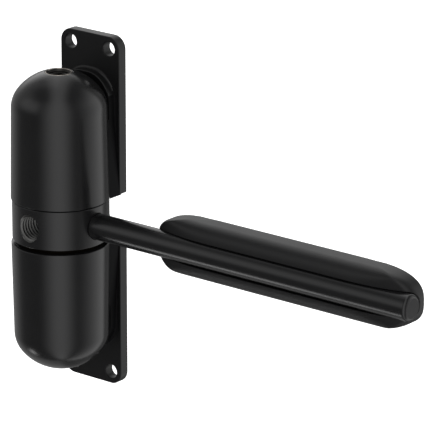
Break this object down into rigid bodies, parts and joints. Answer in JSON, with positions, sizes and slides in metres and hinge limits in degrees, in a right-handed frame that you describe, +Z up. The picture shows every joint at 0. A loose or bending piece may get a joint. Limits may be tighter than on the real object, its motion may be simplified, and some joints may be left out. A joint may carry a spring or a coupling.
{
  "type": "gate closer",
  "caption": "Surface-mounted spring gate closer: back plate with domed barrels, turning collar, round arm and a domed guide in which the arm slides.",
  "frame": {"origin": "centre of the plate's four screw holes, on the plate's back face", "axes": "+X along the arm at rest, +Y out of the plate's back towards the post, +Z up along the barrels"},
  "size_m": [0.2174, 0.0488, 0.166],
  "materials": {
    "black_coat": "satin black powder coat on a smooth zinc casting",
    "black_steel": "semi-gloss black on turned steel",
    "black_guide": "smooth semi-gloss black moulding",
    "dark_oxide": "blackened machined steel with bright edges",
    "plated_steel": "zinc-plated steel",
    "spring_steel": "oiled spring wire",
    "bronze": "sintered bronze"
  },
  "bodies": {
    "housing": {"mounting_plate": "black_coat", "upper_barrel": "black_coat", "lower_barrel": "black_coat", "upper_barrel_screws": "dark_oxide", "lower_barrel_screws": "dark_oxide", "upper_bush": "bronze", "lower_bush": "bronze", "thrust_washer": "plated_steel", "adjuster_bush": "dark_oxide", "adjuster_washer": "plated_steel", "lower_spring_anchor": "plated_steel", "anchor_dowels": "plated_steel"},
    "drive": {"drive_collar": "black_steel", "center_spindle": "plated_steel", "spindle_key": "plated_steel", "spindle_circlips": "dark_oxide", "upper_spring": "spring_steel", "lower_spring": "spring_steel", "arm_rod": "black_steel"},
    "adjuster": {"tension_adjuster": "dark_oxide"},
    "guide": {"slide_guide": "black_guide"}
  },
  "joints": [
    {"name": "arm_swing", "type": "hinge", "parent": "housing", "child": "drive", "pos_m": [0, -0.0264, 0.0013], "axis": [0, 0, 1], "range_deg": [-110, 15], "stiffness_Nm_per_rad": 4, "deforming": ["upper_spring", "lower_spring"]},
    {"name": "tension_adjust", "type": "hinge", "parent": "housing", "child": "adjuster", "pos_m": [0, -0.0264, 0.0013], "axis": [0, 0, 1], "range_deg": [0, 270], "deforming": ["upper_spring"]},
    {"name": "guide_slide", "type": "slide", "parent": "drive", "child": "guide", "axis": [1, 0, 0], "range_m": [-0.025, 0.04]}
  ]
}
